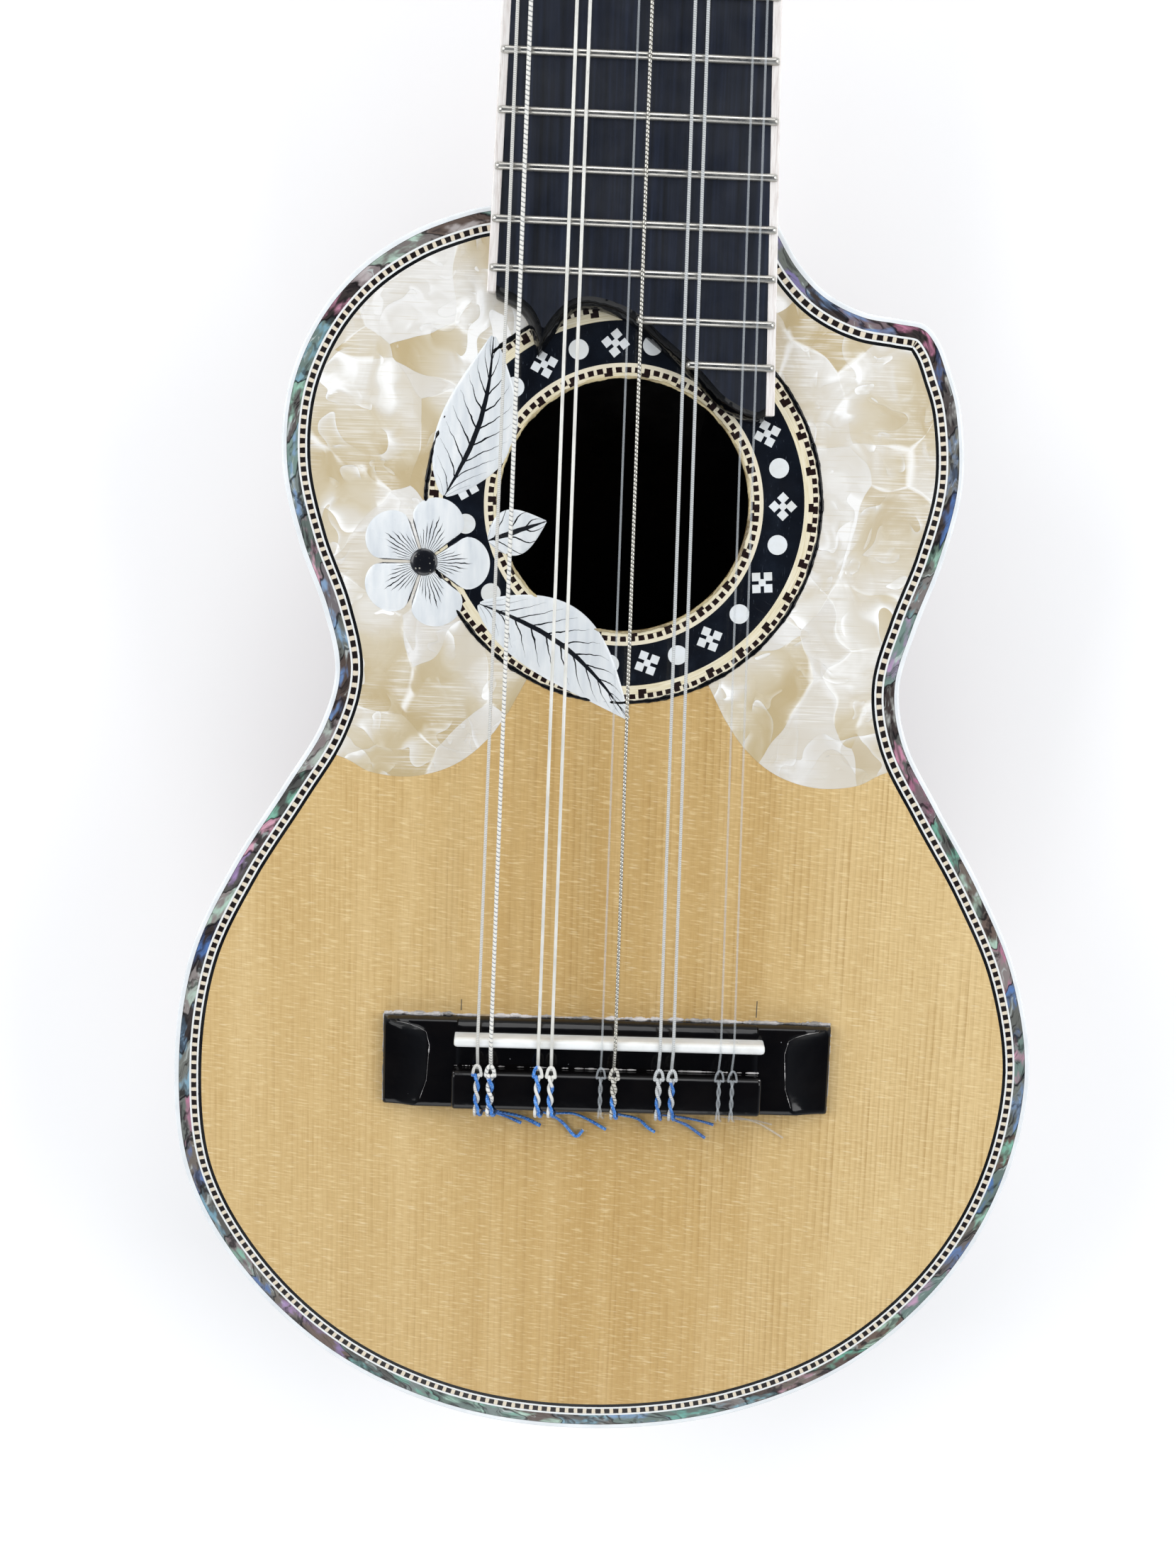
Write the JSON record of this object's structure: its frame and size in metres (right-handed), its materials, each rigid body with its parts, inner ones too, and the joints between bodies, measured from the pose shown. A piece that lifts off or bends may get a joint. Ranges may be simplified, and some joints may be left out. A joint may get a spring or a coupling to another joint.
{
  "type": "charango",
  "caption": "Small Andean lute with a round carved back, waisted spruce top, inlaid rosette and edge, slotted head and geared string posts that turn.",
  "frame": {"origin": "under the middle of the whole instrument as it lies on its back", "axes": "+Z out of the soundboard, +Y along the strings from the bridge to the head, +X towards the side with the horn"},
  "size_m": [0.205, 0.64, 0.0926],
  "materials": {
    "carved_back": "clear varnish over dark carved hardwood",
    "neck_wood": "clear satin varnish",
    "spruce": "glossy honey coloured varnish, straight grain",
    "binding_white": "milky translucent edge binding",
    "abalone": "polished shell, dark with green, blue and pink",
    "chequered_wood": "white, black and chequered veneer lines",
    "rosette_inlay": "black ring with white inlays, varnished",
    "pearloid": "pearl plastic with folded bright patches",
    "bone_inlay": "polished bone with fine black engraving",
    "ebony": "black, polished",
    "nickel_silver": "polished fret wire",
    "bone": "polished bone",
    "brace_wood": "bare spruce",
    "tuner_brass": "polished brass plate",
    "button_pearl": "pearl plastic button on a steel worm shaft",
    "clear_nylon": "clear nylon",
    "white_nylon": "white nylon",
    "white_wound": "white string wound with thick wire",
    "silver_wound": "silvered wire winding",
    "fine_wound": "fine pale winding"
  },
  "bodies": {
    "instrument": {"bowl_back": "carved_back", "neck": "neck_wood", "soundboard": "spruce", "edge_binding": "binding_white", "abalone_band": "abalone", "purfling_band": "chequered_wood", "rosette": "rosette_inlay", "pearl_plate_left": "pearloid", "pearl_plate_right": "pearloid", "spray_flower": "bone_inlay", "spray_leaf_upper": "bone_inlay", "spray_leaf_lower": "bone_inlay", "spray_bud": "bone_inlay", "fingerboard": "ebony", "frets_and_side_strips": "nickel_silver", "nut": "bone", "saddle": "bone", "bridge": "ebony", "brace_upper": "brace_wood", "brace_lower": "brace_wood", "brace_fan_1": "brace_wood", "brace_fan_2": "brace_wood", "brace_fan_3": "brace_wood", "headstock": "neck_wood", "head_veneer": "ebony", "tuner_plate_left": "tuner_brass", "tuner_plate_right": "tuner_brass", "string_1": "clear_nylon", "string_2": "white_wound", "string_3": "white_nylon", "string_4": "white_nylon", "string_5": "clear_nylon", "string_6": "silver_wound", "string_7": "fine_wound", "string_8": "fine_wound", "string_9": "clear_nylon", "string_10": "clear_nylon"},
    "post_1": {"tuner_post_1": "tuner_brass"},
    "button_1": {"tuner_button_1": "button_pearl"},
    "post_2": {"tuner_post_2": "tuner_brass"},
    "button_2": {"tuner_button_2": "button_pearl"},
    "post_3": {"tuner_post_3": "tuner_brass"},
    "button_3": {"tuner_button_3": "button_pearl"},
    "post_4": {"tuner_post_4": "tuner_brass"},
    "button_4": {"tuner_button_4": "button_pearl"},
    "post_5": {"tuner_post_5": "tuner_brass"},
    "button_5": {"tuner_button_5": "button_pearl"},
    "post_6": {"tuner_post_6": "tuner_brass"},
    "button_6": {"tuner_button_6": "button_pearl"},
    "post_7": {"tuner_post_7": "tuner_brass"},
    "button_7": {"tuner_button_7": "button_pearl"},
    "post_8": {"tuner_post_8": "tuner_brass"},
    "button_8": {"tuner_button_8": "button_pearl"},
    "post_9": {"tuner_post_9": "tuner_brass"},
    "button_9": {"tuner_button_9": "button_pearl"},
    "post_10": {"tuner_post_10": "tuner_brass"},
    "button_10": {"tuner_button_10": "button_pearl"}
  },
  "joints": [
    {"name": "button_turn_1", "type": "hinge", "parent": "instrument", "child": "button_1", "pos_m": [-0.0347, 0.19662, 0.06426], "axis": [0, 0.2079, 0.9781], "continuous": true},
    {"name": "post_turn_1", "type": "hinge", "parent": "instrument", "child": "post_1", "pos_m": [0, 0.18899, 0.06588], "axis": [1, 0, 0], "continuous": true, "deforming": ["string_1"]},
    {"name": "button_turn_2", "type": "hinge", "parent": "instrument", "child": "button_2", "pos_m": [-0.0347, 0.22107, 0.05906], "axis": [0, 0.2079, 0.9781], "continuous": true},
    {"name": "post_turn_2", "type": "hinge", "parent": "instrument", "child": "post_2", "pos_m": [0, 0.21344, 0.06069], "axis": [1, 0, 0], "continuous": true, "deforming": ["string_2"]},
    {"name": "button_turn_3", "type": "hinge", "parent": "instrument", "child": "button_3", "pos_m": [-0.0347, 0.24552, 0.05387], "axis": [0, 0.2079, 0.9781], "continuous": true},
    {"name": "post_turn_3", "type": "hinge", "parent": "instrument", "child": "post_3", "pos_m": [0, 0.2379, 0.05549], "axis": [1, 0, 0], "continuous": true, "deforming": ["string_3"]},
    {"name": "button_turn_4", "type": "hinge", "parent": "instrument", "child": "button_4", "pos_m": [-0.0347, 0.26998, 0.04867], "axis": [0, 0.2079, 0.9781], "continuous": true},
    {"name": "post_turn_4", "type": "hinge", "parent": "instrument", "child": "post_4", "pos_m": [0, 0.26235, 0.05029], "axis": [1, 0, 0], "continuous": true, "deforming": ["string_4"]},
    {"name": "button_turn_5", "type": "hinge", "parent": "instrument", "child": "button_5", "pos_m": [-0.0347, 0.29443, 0.04347], "axis": [0, 0.2079, 0.9781], "continuous": true},
    {"name": "post_turn_5", "type": "hinge", "parent": "instrument", "child": "post_5", "pos_m": [0, 0.2868, 0.04509], "axis": [1, 0, 0], "continuous": true, "deforming": ["string_5"]},
    {"name": "button_turn_6", "type": "hinge", "parent": "instrument", "child": "button_6", "pos_m": [0.0347, 0.29443, 0.04347], "axis": [0, 0.2079, 0.9781], "continuous": true},
    {"name": "post_turn_6", "type": "hinge", "parent": "instrument", "child": "post_6", "pos_m": [0, 0.2868, 0.04509], "axis": [1, 0, 0], "continuous": true, "deforming": ["string_6"]},
    {"name": "button_turn_7", "type": "hinge", "parent": "instrument", "child": "button_7", "pos_m": [0.0347, 0.26998, 0.04867], "axis": [0, 0.2079, 0.9781], "continuous": true},
    {"name": "post_turn_7", "type": "hinge", "parent": "instrument", "child": "post_7", "pos_m": [0, 0.26235, 0.05029], "axis": [1, 0, 0], "continuous": true, "deforming": ["string_7"]},
    {"name": "button_turn_8", "type": "hinge", "parent": "instrument", "child": "button_8", "pos_m": [0.0347, 0.24552, 0.05387], "axis": [0, 0.2079, 0.9781], "continuous": true},
    {"name": "post_turn_8", "type": "hinge", "parent": "instrument", "child": "post_8", "pos_m": [0, 0.2379, 0.05549], "axis": [1, 0, 0], "continuous": true, "deforming": ["string_8"]},
    {"name": "button_turn_9", "type": "hinge", "parent": "instrument", "child": "button_9", "pos_m": [0.0347, 0.22107, 0.05906], "axis": [0, 0.2079, 0.9781], "continuous": true},
    {"name": "post_turn_9", "type": "hinge", "parent": "instrument", "child": "post_9", "pos_m": [0, 0.21344, 0.06069], "axis": [1, 0, 0], "continuous": true, "deforming": ["string_9"]},
    {"name": "button_turn_10", "type": "hinge", "parent": "instrument", "child": "button_10", "pos_m": [0.0347, 0.19662, 0.06426], "axis": [0, 0.2079, 0.9781], "continuous": true},
    {"name": "post_turn_10", "type": "hinge", "parent": "instrument", "child": "post_10", "pos_m": [0, 0.18899, 0.06588], "axis": [1, 0, 0], "continuous": true, "deforming": ["string_10"]}
  ],
  "couplings": [
    {"joint": "post_turn_1", "follows": "button_turn_1", "ratio": -0.071429},
    {"joint": "post_turn_2", "follows": "button_turn_2", "ratio": -0.071429},
    {"joint": "post_turn_3", "follows": "button_turn_3", "ratio": -0.071429},
    {"joint": "post_turn_4", "follows": "button_turn_4", "ratio": -0.071429},
    {"joint": "post_turn_5", "follows": "button_turn_5", "ratio": -0.071429},
    {"joint": "post_turn_6", "follows": "button_turn_6", "ratio": -0.071429},
    {"joint": "post_turn_7", "follows": "button_turn_7", "ratio": -0.071429},
    {"joint": "post_turn_8", "follows": "button_turn_8", "ratio": -0.071429},
    {"joint": "post_turn_9", "follows": "button_turn_9", "ratio": -0.071429},
    {"joint": "post_turn_10", "follows": "button_turn_10", "ratio": -0.071429}
  ]
}
